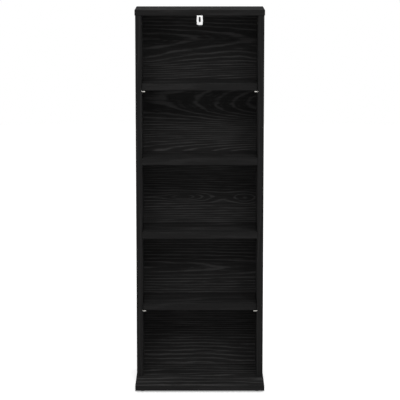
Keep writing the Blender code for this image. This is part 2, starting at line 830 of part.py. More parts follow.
def make_shelves():
    for index, (name, loose) in enumerate(SHELVES):
        if not loose:
            make_fixed_shelf(name, shelf_bottom(index))
            continue
        make_loose_shelf(name, shelf_bottom(index))
        for side, sign in SIDES:
            for end, y in pin_columns():
                seat = Vector((INNER_X * sign, y, pin_height(index)))
                make_pin("_".join((name, end, side, "pin")), seat, X * -sign)


def main():
    clear_scene()
    make_base()
    make_top()
    for side, sign in SIDES:
        make_side(side, sign)
    make_back()
    make_shelves()
    make_joints()
    for side, sign in SIDES:
        for end, y in base_screw_places():
            make_base_screw("_".join(("base_screw", end, side)), SIDE_MIDDLE_X * sign, y)
    for name, x, y in glide_places():
        make_glide(name, x, y)
    make_bracket()


main()
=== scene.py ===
"""Looks for the open media shelf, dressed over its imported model.

The boards keep their solids and get a black oak print, with raw chipboard wherever a hole or a
groove cuts through it. The pins, glides, nails and screws are finer turned pieces, set out in
rows by Geometry Nodes. Front is -Y and everything is in metres.
"""

import math

import bmesh
import bpy
from mathutils import Matrix, Vector


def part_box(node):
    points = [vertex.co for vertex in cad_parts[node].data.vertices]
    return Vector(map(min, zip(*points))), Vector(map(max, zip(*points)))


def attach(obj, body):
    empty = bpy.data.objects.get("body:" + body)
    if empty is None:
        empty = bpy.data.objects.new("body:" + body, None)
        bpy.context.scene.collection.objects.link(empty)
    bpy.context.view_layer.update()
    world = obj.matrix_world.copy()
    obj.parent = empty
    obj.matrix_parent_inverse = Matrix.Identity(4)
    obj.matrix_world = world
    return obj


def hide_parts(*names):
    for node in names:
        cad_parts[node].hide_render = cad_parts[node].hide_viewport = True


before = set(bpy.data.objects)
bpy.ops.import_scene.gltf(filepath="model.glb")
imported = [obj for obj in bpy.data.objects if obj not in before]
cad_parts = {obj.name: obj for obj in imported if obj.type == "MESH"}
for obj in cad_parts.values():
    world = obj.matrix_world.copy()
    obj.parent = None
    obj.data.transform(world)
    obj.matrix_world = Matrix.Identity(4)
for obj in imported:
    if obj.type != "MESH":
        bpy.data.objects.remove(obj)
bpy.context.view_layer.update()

# Camera
CAMERA_PLACE = (0.0006, -5.115, 1.331)
CAMERA_PITCH = math.radians(9.143)
CAMERA_LENS = 170.17
CAMERA_SENSOR = 36.0

# Studio
SOFT_BOX_PLACE = Vector((0.60, -8.40, 7.90))
SOFT_BOX_AIM = Vector((0, 0, 0.50))
SOFT_BOX_SIZE = (8.0, 5.0)
SOFT_BOX_POWER = 860
ROOM_LIGHT = 0.50
BRACKET_LAMP_PLACE = Vector((0, -1.50, 0.970))
BRACKET_LAMP_AIM = Vector((0, 0.118, 0.9955))
BRACKET_LAMP_POWER = 42
BRACKET_LAMP_ANGLE = math.radians(1.65)
BRACKET_LAMP_NARROWING = (0.45, 1, 1)
BRACKET_LAMP_BLEND = 0.25
FLOOR_RADIUS = 6.0
FLOOR_DROP = 0.0002
FLOOR_FACETS = 96
FLOOR_PAINT = (0.90, 0.90, 0.90, 1)
FLOOR_GLOW = 0.5

# Black oak print: its ground and light grain lines, its pores and the seams of its edge bands
OAK_GROUND = (0.0135, 0.0133, 0.0133, 1)
OAK_LINE = (0.034, 0.0334, 0.0334, 1)
# Same print painted lighter on the base and the sides: painted light, not a different print
BASE_LINE_PAINTED_LIGHTER = (0.052, 0.051, 0.051, 1)
SIDE_GROUND_PAINTED_LIGHTER = (0.0240, 0.0236, 0.0236, 1)
SIDE_LINE_PAINTED_LIGHTER = (0.055, 0.054, 0.054, 1)
BAND_GROUND = (0.0120, 0.0118, 0.0118, 1)
BAND_LINE = (0.0170, 0.0167, 0.0167, 1)
BACK_GROUND = (0.0180, 0.0177, 0.0177, 1)
BACK_LINE = (0.050, 0.049, 0.049, 1)
OAK_SEAM = (0.0020, 0.0020, 0.0020, 1)
OAK_SHINE = 0.006
OAK_ROUGHNESS = 0.66
LINE_ROUGHNESS = 0.10
LINE_RELIEF = 0.35
PORE_SHADE = 0.45
PRINT_DEPTH = 0.00035
SEAM_INSET = 0.0010
SEAM_HALF_WIDTH = 0.00012
RELIEF_DEPTH = 0.00006

# Pattern of the print. Cells are the lumps of noise in a metre, along the grain and across it, and
# then how much the noise changes from board to board. A step is where it starts and ends, and what
# it gives there
WANDER_CELLS = (2.2, 13, 1)
WANDER_DETAIL = 1.5
RIPPLE_CELLS = (16, 70, 1)
RIPPLE_SHARE = 0.55
LINE_STEP = (0.02, 0.28, 1.0, 0.0)
LINE_FADE_CELLS = (7, 120, 1)
LINE_FADE_STEP = (0.30, 0.62, 0.35, 1.0)
FINE_LINES_IN_RING = 3.0
FINE_LINE_STEP = (0.05, 0.30, 1.0, 0.0)
FINE_FADE_CELLS = (11, 90, 2)
FINE_FADE_STEP = (0.42, 0.70, 0.0, 0.45)
STREAK_CELLS = (22, 900, 1)
STREAK_DETAIL = 3.0
STREAK_SHARE = 0.55
STRIPE_CELLS = (13, 230, 4)
STRIPE_DETAIL = 1.0
STRIPE_SHARE = 1.3
CLOUD_CELLS = (1.4, 9, 3)
CLOUD_STEP = (0.25, 0.75, -0.05, 0.16)
LIGHT_RANGE = (-0.05, 1.25)
PORE_CELLS = (95, 2600, 1)
PORE_DETAIL = 1.0
PORE_STEP = (0.63, 0.70, 0.0, 0.7)

# Raw board under the print: chips and dust, fibres and blotches, and the wires of the pressed screen
CHIP_LIGHT = (0.42, 0.29, 0.17, 1)
CHIP_DARK = (0.17, 0.10, 0.055, 1)
CHIP_CELLS = (420, 700, 900)
CHIP_SHARE = 0.6
DUST_CELLS = (2500, 2500, 2500)
DUST_DETAIL = 3.0
DUST_SHARE = 0.5
FIBRE_LIGHT = (0.150, 0.085, 0.045, 1)
FIBRE_DARK = (0.080, 0.043, 0.022, 1)
FIBRE_CELLS = (260, 320, 300)
FIBRE_DETAIL = 5.0
FIBRE_SHARE = 0.5
BLOTCH_CELLS = (9, 9, 9)
BLOTCH_DETAIL = 3.0
BLOTCH_SHARE = 0.6
WIRES_IN_METRE = 800
WIRE_SHARE = 0.8
RAW_ROUGHNESS = 0.85

# Back panel figure, set in round values from what the photo shows in each compartment.
# Rings lie a wide spacing apart, and closer in the fine zones, as (height, reach, extra rings)
WIDE_SPACING = 0.0150
FINE_ZONES = {
    "under_the_top": (1.000, 0.030, 1.5),
    "over_upper_shelf": (0.850, 0.025, 3.0),
    "mid_second_compartment": (0.675, 0.050, 6.5),
    "over_the_eyes": (0.570, 0.040, 6.5),
    "round_lower_fixed_shelf": (0.410, 0.060, 7.5),
    "low_down": (0.175, 0.075, 11.0),
}
# Hearts, where the sawn face comes nearest to the middle of the tree, from the top down, as
# (height, depth in rings, its change in rings per metre to the right, how that change grows)
HEARTS = {
    "upper_arrows": (0.940, 1.2, 6, 0),
    "chevrons": (0.775, 3.9, -15, -30),
    "streaks": (0.620, 4.0, -18, -20),
    "eyes": (0.497, 0.7, 5.5, 0),
    "lower_arrows": (0.297, 1.5, 5.8, 0),
}
# Swirls, as (x, z, reach along x, reach along z, rise in rings)
SWIRLS = {
    "fall_to_the_left_edge": (-0.165, 0.885, 0.100, 0.030, -1.5),
    "fall_to_the_right_edge": (0.165, 0.900, 0.040, 0.030, -0.8),
    "right_arms_of_the_chevrons": (0.165, 0.735, 0.150, 0.035, 2),
    "left_eye": (-0.040, 0.498, 0.050, 0.012, 2.2),
    "between_the_eyes": (0.065, 0.492, 0.030, 0.012, -0.5),
    "right_eye": (0.128, 0.495, 0.030, 0.016, 1.6),
    "hump_over_the_base": (0.010, 0.040, 0.060, 0.045, 0.35),
    "fall_beside_the_hump": (0.150, 0.040, 0.080, 0.050, -0.4),
}

# Metals, lacquer, plastic and dowel wood. A gloss is where its step starts and ends, and how rough
# the surface is there
ZINC_LIGHT = (0.56, 0.56, 0.55, 1)
ZINC_DARK = (0.40, 0.40, 0.40, 1)
ZINC_ROUGHNESS = 0.40
ZINC_CELLS = (1500, 1500, 1500)
NICKEL_LIGHT = (0.60, 0.585, 0.555, 1)
NICKEL_DARK = (0.46, 0.45, 0.425, 1)
NICKEL_ROUGHNESS = 0.24
NICKEL_CELLS = (2600, 300, 300)
METAL_CLOUD_CELLS = (160, 160, 160)
METAL_CLOUD_DETAIL = 3.0
METAL_CLOUD_STEP = (0.3, 0.7)
METAL_GLOSS_STEP = (0.25, 0.75)
METAL_GLOSS_SPREAD = 0.07
METAL_RELIEF = 0.00001
LACQUER_LIGHT = (0.93, 0.93, 0.925, 1)
LACQUER_DARK = (0.90, 0.90, 0.895, 1)
LACQUER_CLOUD_CELLS = (120, 120, 120)
LACQUER_CLOUD_DETAIL = 3.0
LACQUER_PEEL_CELLS = (900, 900, 900)
LACQUER_PEEL_DETAIL = 1.0
LACQUER_GLOSS = (0.3, 0.7, 0.30, 0.42)
LACQUER_RELIEF = 0.00002
PLASTIC_LIGHT = (0.016, 0.016, 0.016, 1)
PLASTIC_DARK = (0.009, 0.009, 0.009, 1)
PLASTIC_CELLS = (1800, 1800, 1800)
PLASTIC_GLOSS = (0.3, 0.7, 0.40, 0.55)
PLASTIC_RELIEF = 0.00003
BEECH_LIGHT = (0.58, 0.41, 0.25, 1)
BEECH_DARK = (0.44, 0.29, 0.16, 1)
BEECH_FIBRE_CELLS = (900, 900, 900)
BEECH_FIBRE_DETAIL = 3.0
BEECH_FIBRE_SHARE = 0.5
BEECH_CLOUD_CELLS = (220, 220, 220)
BEECH_CLOUD_DETAIL = 1.0
BEECH_CLOUD_SHARE = 0.5
BEECH_ROUGHNESS = 0.7
BEECH_RELIEF = 0.00003

# Turned pieces
TURNED_FACETS = 48
ROUND_STEPS = 5
SHARP_ANGLE = math.radians(35)
WELD_DISTANCE = 0.000001

BOARDS = (
    "base_panel",
    "top_panel",
    "lower_adjustable_shelf",
    "lower_fixed_shelf",
    "upper_fixed_shelf",
    "upper_adjustable_shelf",
    "left_side_panel",
    "right_side_panel",
)
# How a board lies: the turn of its pattern, and its axes as along the grain, across it and deep
FLAT_LAY = ((0, 0, 0), (0, 1, 2))
SIDE_LAY = ((0, -math.pi / 2, 0), (2, 1, 0))
BACK_LAY = ((math.pi / 2, 0, 0), (0, 2, 1))
# How far apart the rings of a board lie, how many rings they wander, and the noise's step from one
# board to the next
FLAT_SPACING = 0.030
SIDE_SPACING = 0.011
BOARD_WANDER = 4.0
BACK_WANDER = 0.3
BOARD_STEP = 7.3
# Boards whose broad faces carry the shelves' print painted lighter, as (ground, line): painted light
PAINTED_LIGHT_FACE_PRINT = {
    "base_panel": (OAK_GROUND, BASE_LINE_PAINTED_LIGHTER),
    "left_side_panel": (SIDE_GROUND_PAINTED_LIGHTER, SIDE_LINE_PAINTED_LIGHTER),
    "right_side_panel": (SIDE_GROUND_PAINTED_LIGHTER, SIDE_LINE_PAINTED_LIGHTER),
}

# Screws, nails and glides, in the sizes of their solids. The half width of a thread's ridge is in
# turns, a cross recess in shares of the head's radius, and its floor in a share of its mouth
SCREW_PITCH = 0.0030
SCREW_ROOT = 0.0021
SCREW_CREST = 0.0027
SCREW_NECK = 0.0033
SCREW_HEAD_HEIGHT = 0.0035
SCREW_HEAD_RIM = 0.0004
SCREW_SMOOTH = 0.0150
SCREW_POINT = 0.004
BRACKET_SCREW_PITCH = 0.0012
BRACKET_SCREW_ROOT = 0.0011
BRACKET_SCREW_CREST = 0.0016
BRACKET_SCREW_HEAD_RADIUS = 0.003
BRACKET_SCREW_HEAD_HEIGHT = 0.0017
BRACKET_SCREW_DOME_START = 0.35
BRACKET_SCREW_SMOOTH = 0.0022
BRACKET_SCREW_POINT = 0.002
THREAD_FACETS = 20
THREAD_STEPS = 6
RIDGE_HALF_WIDTH = 0.25
RECESS_LENGTH = 0.55
RECESS_WIDTH = 0.17
RECESS_DEPTH = 0.42
RECESS_FLOOR = 0.7
GLIDE_ROUND = 0.0012
GLIDE_SUNK_RADIUS = 0.0029
GLIDE_SUNK_DEPTH = 0.0025
GLIDE_HOLE = 0.0013
NAIL_RADIUS = 0.001
NAIL_HEAD_HEIGHT = 0.001
NAIL_HEAD_ROUND = 0.0004
NAIL_POINT = 0.002

# Shelf pin
PIN_STUB_LENGTH = 0.0095
PIN_SHANK_RADIUS = 0.0022
PIN_SEAT = 0.0003
PIN_ROUND = 0.0006
PIN_GROOVE_PLACE = 0.0018
PIN_GROOVE_DEPTH = 0.00025

ENDS = ("front", "rear")
SIDES = ("left", "right")
JOINTS = ("top", "lower_fixed_shelf", "upper_fixed_shelf")
LOOSE_SHELVES = ("lower_adjustable_shelf", "upper_adjustable_shelf")


class Graph:
    """A node tree in the making. A value is a number, a colour, or the output of another node."""

    def __init__(self, tree):
        self.tree = tree

    def feed(self, socket, value):
        if isinstance(value, bpy.types.NodeSocket):
            self.tree.links.new(value, socket)
        else:
            socket.default_value = value

    def node(self, kind, inputs=None, **settings):
        node = self.tree.nodes.new(kind)
        for name, value in settings.items():
            setattr(node, name, value)
        for key, value in (inputs or {}).items():
            self.feed(node.inputs[key], value)
        return node

    def math(self, operation, *values):
        inputs = dict(enumerate(values))
        return self.node("ShaderNodeMath", inputs, operation=operation).outputs[0]

    def vector(self, operation, *values):
        inputs = dict(enumerate(values))
        return self.node("ShaderNodeVectorMath", inputs, operation=operation).outputs[0]

    def split(self, vector):
        return self.node("ShaderNodeSeparateXYZ", {0: vector}).outputs

    def join(self, *parts):
        return self.node("ShaderNodeCombineXYZ", dict(enumerate(parts))).outputs[0]

    def step(self, value, start, end, low=0.0, high=1.0):
        """Smooth step from low, at start, to high, at end."""
        inputs = {0: value, 1: start, 2: end, 3: low, 4: high}
        node = self.node("ShaderNodeMapRange", inputs, interpolation_type="SMOOTHSTEP")
        return node.outputs[0]

    def blend(self, share, first, second):
        """The colour between two others."""
        inputs = {0: share, 6: first, 7: second}
        return self.node("ShaderNodeMix", inputs, data_type="RGBA").outputs[2]

    def between(self, share, first, second):
        """The number between two others."""
        inputs = {0: share, 2: first, 3: second}
        return self.node("ShaderNodeMix", inputs, data_type="FLOAT").outputs[0]

    def noise(self, place, cells, detail=2.0):
        """Noise with so many cells in a metre, along each axis of the place."""
        stretched = self.vector("MULTIPLY", place, cells)
        inputs = {"Vector": stretched, "Scale": 1.0, "Detail": detail}
        return self.node("ShaderNodeTexNoise", inputs).outputs[0]

    def swing(self, place, cells, detail=2.0):
        """The same noise, but about zero."""
        return self.math("SUBTRACT", self.noise(place, cells, detail), 0.5)

    def off_whole(self, count):
        """How far a count is from the nearest whole number."""
        return self.math("PINGPONG", count, 0.5)

    def bump(self, relief, depth):
        inputs = {"Height": relief, "Distance": depth, "Strength": 1.0}
        return self.node("ShaderNodeBump", inputs).outputs[0]


def new_group(name, inputs, outputs):
    """An empty shader node group, with what it is given and what it makes."""
    tree = bpy.data.node_groups.new(name, "ShaderNodeTree")
    for in_out, sockets in (("INPUT", inputs), ("OUTPUT", outputs)):
        for label, kind in sockets:
            tree.interface.new_socket(label, in_out=in_out, socket_type="NodeSocket" + kind)
    graph = Graph(tree)
    return graph, graph.node("NodeGroupInput").outputs, graph.node("NodeGroupOutput").inputs


def new_material(name):
    """A material with its graph, its Principled shader and its Object coordinates."""
    material = bpy.data.materials.new(name)
    material.use_nodes = True
    graph = Graph(material.node_tree)
    shader = material.node_tree.nodes["Principled BSDF"]
    place = graph.node("ShaderNodeTexCoord").outputs["Object"]
    return material, graph, shader.inputs, place


def use_group(graph, tree, inputs):
    """What a node group makes of its inputs."""
    node = graph.node("ShaderNodeGroup", node_tree=tree)
    for key, value in inputs.items():
        graph.feed(node.inputs[key], value)
    return node.outputs


def oak_print_group():
    """Black oak print on a place given as (along, across, deep): how light, and where its pores lie.

    A light line runs wherever the ring count, which grows across the board, is a whole number.
    """
    graph, given, made = new_group(
        "oak_print",
        (("Place", "Vector"), ("Rings", "Float"), ("Wander", "Float"), ("Seed", "Float")),
        (("Light", "Float"), ("Pore", "Float")),
    )
    along, wide, deep = graph.split(given["Place"])
    place = graph.join(along, graph.math("ADD", wide, deep), given["Seed"])
    wander = graph.swing(place, WANDER_CELLS, WANDER_DETAIL)
    ripple = graph.swing(place, RIPPLE_CELLS)
    rings = graph.math("MULTIPLY_ADD", wander, given["Wander"], given["Rings"])
    rings = graph.math("MULTIPLY_ADD", ripple, RIPPLE_SHARE, rings)
    fine_rings = graph.math("MULTIPLY", rings, FINE_LINES_IN_RING)
    line = graph.step(graph.off_whole(rings), *LINE_STEP)
    fine_line = graph.step(graph.off_whole(fine_rings), *FINE_LINE_STEP)
    fade = graph.step(graph.noise(place, LINE_FADE_CELLS), *LINE_FADE_STEP)
    fine_fade = graph.step(graph.noise(place, FINE_FADE_CELLS), *FINE_FADE_STEP)
    streak = graph.swing(place, STREAK_CELLS, STREAK_DETAIL)
    stripe = graph.swing(place, STRIPE_CELLS, STRIPE_DETAIL)
    cloud = graph.step(graph.noise(place, CLOUD_CELLS), *CLOUD_STEP)
    light = graph.math("MULTIPLY_ADD", line, fade, cloud)
    light = graph.math("MULTIPLY_ADD", fine_line, fine_fade, light)
    light = graph.math("MULTIPLY_ADD", streak, STREAK_SHARE, light)
    light = graph.math("MULTIPLY_ADD", stripe, STRIPE_SHARE, light)
    pore = graph.step(graph.noise(place, PORE_CELLS, PORE_DETAIL), *PORE_STEP)
    graph.feed(made["Light"], graph.step(light, *LIGHT_RANGE))
    graph.feed(made["Pore"], pore)
    return graph.tree


def chipboard_group():
    """Raw chipboard, as it shows inside holes and grooves."""
    graph, given, made = new_group(
        "chipboard", (("Place", "Vector"),), (("Colour", "Color"), ("Relief", "Float"))
    )
    chips = graph.node("ShaderNodeTexVoronoi", {
        "Vector": graph.vector("MULTIPLY", given["Place"], CHIP_CELLS),
        "Scale": 1.0,
    })
    chip = graph.split(chips.outputs["Color"])[0]
    dust = graph.noise(given["Place"], DUST_CELLS, DUST_DETAIL)
    shade = graph.math("MULTIPLY_ADD", dust, DUST_SHARE, graph.math("MULTIPLY", chip, CHIP_SHARE))
    graph.feed(made["Colour"], graph.blend(shade, CHIP_DARK, CHIP_LIGHT))
    graph.feed(made["Relief"], shade)
    return graph.tree


def hardboard_group():
    """Raw brown hardboard with the screen pattern that pressing leaves on its rough side."""
    graph, given, made = new_group(
        "hardboard", (("Place", "Vector"),), (("Colour", "Color"), ("Relief", "Float"))
    )
    fibre = graph.noise(given["Place"], FIBRE_CELLS, FIBRE_DETAIL)
    blotch = graph.noise(given["Place"], BLOTCH_CELLS, BLOTCH_DETAIL)
    along, across, _ = graph.split(given["Place"])
    wires = [
        graph.off_whole(graph.math("MULTIPLY", part, WIRES_IN_METRE)) for part in (along, across)
    ]
    screen = graph.math("MULTIPLY", *wires)
    shade = graph.math("MULTIPLY", fibre, FIBRE_SHARE)
    shade = graph.math("MULTIPLY_ADD", blotch, BLOTCH_SHARE, shade)
    shade = graph.math("MULTIPLY_ADD", screen, WIRE_SHARE, shade)
    graph.feed(made["Colour"], graph.blend(shade, FIBRE_DARK, FIBRE_LIGHT))
    graph.feed(made["Relief"], graph.math("MULTIPLY_ADD", fibre, FIBRE_SHARE, screen))
    return graph.tree


def board_frame(graph, place, node, lay):
    """The place on a board as (along, across, deep) from its middle, and half its size that way."""
    turn, order = lay
    low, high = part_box(node)
    inputs = {"Vector": place, "Location": (low + high) / 2, "Rotation": turn}
    mapping = graph.node("ShaderNodeMapping", inputs, vector_type="TEXTURE")
    half = [(high[axis] - low[axis]) / 2 for axis in order]
    return mapping.outputs[0], half


def inset(graph, local, half):
    """How far in from the faces of its box a point lies, along each axis of the board."""
    return graph.vector("SUBTRACT", half, graph.vector("ABSOLUTE", local))


def inside_print(graph, insets):
    """One where a hole or a groove has cut through the print into the board."""
    along, across, deep = graph.split(insets)
    least = graph.math("MINIMUM", graph.math("MINIMUM", along, across), deep)
    return graph.math("GREATER_THAN", least, PRINT_DEPTH)


def on_band(graph, insets):
    """One on the edge bands, which cover the ends and the long edges of a board."""
    along, across, _ = graph.split(insets)
    return graph.math("LESS_THAN", graph.math("MINIMUM", along, across), PRINT_DEPTH)


def band_seam(graph, insets):
    """One on the hairline where an edge band meets the broad face of a board."""
    along, across, _ = graph.split(insets)
    off_seam = graph.math("SUBTRACT", graph.math("MINIMUM", along, across), SEAM_INSET)
    return graph.math("LESS_THAN", graph.math("ABSOLUTE", off_seam), SEAM_HALF_WIDTH)


def finish_board(graph, shader, colour, grain, raw, raw_board):
    """Print with its pores, and the raw board wherever the print is cut through."""
    light, pore = grain
    raw_colour, raw_relief = raw_board
    colour = graph.blend(pore, colour, graph.vector("MULTIPLY", colour, (PORE_SHADE,) * 3))
    roughness = graph.math("MULTIPLY_ADD", light, LINE_ROUGHNESS, OAK_ROUGHNESS)
    relief = graph.math("SUBTRACT", graph.math("MULTIPLY", light, LINE_RELIEF), pore)
    graph.feed(shader["Base Color"], graph.blend(raw, colour, raw_colour))
    graph.feed(shader["Roughness"], graph.between(raw, roughness, RAW_ROUGHNESS))
    graph.feed(shader["Normal"], graph.bump(graph.between(raw, relief, raw_relief), RELIEF_DEPTH))
    shader["Specular IOR Level"].default_value = OAK_SHINE


def black_oak(node, lay, spacing, number):
    """The black oak print of one board, with chipboard under it."""
    material, graph, shader, place = new_material(node + "_black_oak")
    local, half = board_frame(graph, place, node, lay)
    insets = inset(graph, local, half)
    _, across, deep = graph.split(local)
    grain = use_group(graph, OAK_PRINT, {
        "Place": local,
        "Rings": graph.math("DIVIDE", graph.math("ADD", across, deep), spacing),
        "Wander": BOARD_WANDER,
        "Seed": number * BOARD_STEP,
    })
    # The base and the sides take their print painted lighter here: painted light
    face_print_and_painted_light = graph.blend(grain["Light"], *PAINTED_LIGHT_FACE_PRINT.get(node, (OAK_GROUND, OAK_LINE)))
    band = graph.blend(grain["Light"], BAND_GROUND, BAND_LINE)
    colour = graph.blend(on_band(graph, insets), face_print_and_painted_light, band)
    colour = graph.blend(band_seam(graph, insets), colour, OAK_SEAM)
    raw_board = use_group(graph, CHIPBOARD, {"Place": local})
    finish_board(graph, shader, colour, grain, inside_print(graph, insets), raw_board)
    return material


def ring_count(graph, z):
    """Rings from the floor up to a height: even steps, with more of them in the fine zones."""
    rings = graph.math("DIVIDE", z, WIDE_SPACING)
    for height, reach, extra in FINE_ZONES.values():
        off = graph.math("DIVIDE", graph.math("SUBTRACT", z, height), reach)
        rings = graph.math("MULTIPLY_ADD", graph.math("TANH", off), extra, rings)
    return rings


def plain_ring_count(z):
    """The same count for one known height."""
    rings = z / WIDE_SPACING
    for height, reach, extra in FINE_ZONES.values():
        rings += extra * math.tanh((z - height) / reach)
    return rings


def heart_group():
    """Rings cut by the face at some distance from the heart: rows of arrows where that changes."""
    graph, given, made = new_group(
        "grain_heart",
        (
            ("Rings", "Float"), ("X", "Float"), ("Heart", "Float"),
            ("Depth", "Float"), ("Tilt", "Float"), ("Bend", "Float"),
        ),
        (("Rings", "Float"),),
    )
    across = graph.math("SUBTRACT", given["Rings"], given["Heart"])
    slope = graph.math("MULTIPLY_ADD", given["Bend"], given["X"], given["Tilt"])
    depth = graph.math("MULTIPLY_ADD", slope, given["X"], given["Depth"])
    squares = graph.math("MULTIPLY_ADD", across, across, graph.math("MULTIPLY", depth, depth))
    graph.feed(made["Rings"], graph.math("SQRT", squares))
    return graph.tree


def swirl_group():
    """A swirl lifts the ring count around its middle."""
    graph, given, made = new_group(
        "grain_swirl",
        (("Place", "Vector"), ("Middle", "Vector"), ("Reach", "Vector"), ("Rise", "Float")),
        (("Rings", "Float"),),
    )
    off = graph.vector("SUBTRACT", given["Place"], given["Middle"])
    off = graph.vector("DIVIDE", off, given["Reach"])
    squared = graph.node("ShaderNodeVectorMath", {0: off, 1: off}, operation="DOT_PRODUCT")
    fall = graph.math("EXPONENT", graph.math("MULTIPLY", squared.outputs["Value"], -1.0))
    graph.feed(made["Rings"], graph.math("MULTIPLY", fall, given["Rise"]))
    return graph.tree


def back_figure(graph, place):
    """Ring count over the back panel: hearts, turn about up and down, and the swirls."""
    x, _, z = graph.split(place)
    count = ring_count(graph, z)
    figure = 0.0
    up_or_down = "ADD"
    for height, depth, tilt, bend in HEARTS.values():
        rings = use_group(graph, HEART, {
            "Rings": count,
            "X": x,
            "Heart": plain_ring_count(height),
            "Depth": depth,
            "Tilt": tilt,
            "Bend": bend,
        })[0]
        figure = graph.math(up_or_down, figure, rings)
        up_or_down = "SUBTRACT" if up_or_down == "ADD" else "ADD"
    flat_place = graph.join(x, z, 0.0)
    for middle_x, middle_z, reach_x, reach_z, rise in SWIRLS.values():
        rings = use_group(graph, SWIRL, {
            "Place": flat_place,
            "Middle": (middle_x, middle_z, 0),
            "Reach": (reach_x, reach_z, 1),
            "Rise": rise,
        })[0]
        figure = graph.math("ADD", figure, rings)
    return figure


def black_back():
    """The back panel: figured print on its front, raw hardboard on its rear and its edges."""
    material, graph, shader, place = new_material("back_panel_black_oak")
    local, half = board_frame(graph, place, "back_panel", BACK_LAY)
    grain = use_group(graph, OAK_PRINT, {
        "Place": local,
        "Rings": back_figure(graph, place),
        "Wander": BACK_WANDER,
        "Seed": 0.0,
    })
    colour = graph.blend(grain["Light"], BACK_GROUND, BACK_LINE)
    under_print = graph.math("SUBTRACT", half[2], graph.split(local)[2])
    raw = graph.math("GREATER_THAN", under_print, PRINT_DEPTH)
    raw_board = use_group(graph, HARDBOARD, {"Place": local})
    finish_board(graph, shader, colour, grain, raw, raw_board)
    return material


def metal(name, light, dark, roughness, cells):
    """A bare or plated metal, with faint clouds, fine grain and uneven gloss."""
    material, graph, shader, place = new_material(name)
    cloud = graph.noise(place, METAL_CLOUD_CELLS, METAL_CLOUD_DETAIL)
    grain = graph.noise(place, cells)
    glossy = roughness - METAL_GLOSS_SPREAD
    dull = roughness + METAL_GLOSS_SPREAD
    graph.feed(shader["Base Color"], graph.blend(graph.step(cloud, *METAL_CLOUD_STEP), light, dark))
    graph.feed(shader["Roughness"], graph.step(grain, *METAL_GLOSS_STEP, glossy, dull))
    graph.feed(shader["Normal"], graph.bump(grain, METAL_RELIEF))
    shader["Metallic"].default_value = 1.0
    return material


def white_lacquer():
    """Sprayed lacquer, with its orange peel."""
    material, graph, shader, place = new_material("white_lacquer")
    cloud = graph.noise(place, LACQUER_CLOUD_CELLS, LACQUER_CLOUD_DETAIL)
    peel = graph.noise(place, LACQUER_PEEL_CELLS, LACQUER_PEEL_DETAIL)
    graph.feed(shader["Base Color"], graph.blend(cloud, LACQUER_DARK, LACQUER_LIGHT))
    graph.feed(shader["Roughness"], graph.step(peel, *LACQUER_GLOSS))
    graph.feed(shader["Normal"], graph.bump(peel, LACQUER_RELIEF))
    return material


def black_plastic():
    """Moulded plastic with a fine grain."""
    material, graph, shader, place = new_material("black_plastic")
    grain = graph.noise(place, PLASTIC_CELLS)
    graph.feed(shader["Base Color"], graph.blend(grain, PLASTIC_DARK, PLASTIC_LIGHT))
    graph.feed(shader["Roughness"], graph.step(grain, *PLASTIC_GLOSS))
    graph.feed(shader["Normal"], graph.bump(grain, PLASTIC_RELIEF))
    return material


def beech():
    """Dowel wood, with fine fibres and soft clouds."""
    material, graph, shader, place = new_material("beech")
    fibre = graph.noise(place, BEECH_FIBRE_CELLS, BEECH_FIBRE_DETAIL)
    cloud = graph.noise(place, BEECH_CLOUD_CELLS, BEECH_CLOUD_DETAIL)
    shade = graph.math("MULTIPLY", cloud, BEECH_CLOUD_SHARE)
    shade = graph.math("MULTIPLY_ADD", fibre, BEECH_FIBRE_SHARE, shade)
    graph.feed(shader["Base Color"], graph.blend(shade, BEECH_DARK, BEECH_LIGHT))
    graph.feed(shader["Roughness"], BEECH_ROUGHNESS)
    graph.feed(shader["Normal"], graph.bump(fibre, BEECH_RELIEF))
    return material


def dress(node, material):
    """Gives a CAD node its material."""
    for material_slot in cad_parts[node].material_slots:
        material_slot.material = material


def dress_boards():
    """Gives each board its own print, and the back panel its figure."""
    for number, node in enumerate(BOARDS, 1):
        lay, spacing = (SIDE_LAY, SIDE_SPACING) if "side" in node else (FLAT_LAY, FLAT_SPACING)
        dress(node, black_oak(node, lay, spacing, number))
    dress("back_panel", black_back())


def dress_joints(zinc):
    """Zinc for the cam locks and bolts, beech for the dowels and lacquer for the wall bracket."""
    dowel_wood = beech()
    for joint in JOINTS:
        for side in SIDES:
            end = joint + "_" + side
            dress(end + "_cam_lock", zinc)
            dress(end + "_cam_bolt", zinc)
            dress(end + "_dowel", dowel_wood)
    dress("wall_bracket", white_lacquer())


def arc(centre, radius, start, end, steps=ROUND_STEPS):
    """Points of an arc about a centre, both ends included."""
    angles = [start + (end - start) * step / steps for step in range(steps + 1)]
    return [
        (centre[0] + radius * math.cos(angle), centre[1] + radius * math.sin(angle))
        for angle in angles
    ]


def add_object(name, data):
    """A new object in the scene."""
    obj = bpy.data.objects.new(name, data)
    bpy.context.scene.collection.objects.link(obj)
    return obj


def mesh_from(name, bm):
    """A clean mesh, smooth but for its sharp edges."""
    bmesh.ops.remove_doubles(bm, verts=bm.verts, dist=WELD_DISTANCE)
    bmesh.ops.recalc_face_normals(bm, faces=bm.faces)
    mesh = bpy.data.meshes.new(name)
    bm.to_mesh(mesh)
    bm.free()
    mesh.shade_smooth()
    mesh.set_sharp_from_angle(angle=SHARP_ANGLE)
    return mesh


def turned(name, profile, ring=False):
    """A turned piece about its own Z axis, from (radius, height) points."""
    bm = bmesh.new()
    verts = [bm.verts.new((radius, 0, height)) for radius, height in profile]
    pairs = list(zip(verts, verts[1:]))
    if ring:
        pairs.append((verts[-1], verts[0]))
    edges = [bm.edges.new(pair) for pair in pairs]
    bmesh.ops.spin(
        bm, geom=verts + edges, cent=(0, 0, 0), axis=(0, 0, 1), angle=2 * math.pi,
        steps=TURNED_FACETS, use_merge=True,
    )
    return mesh_from(name, bm)


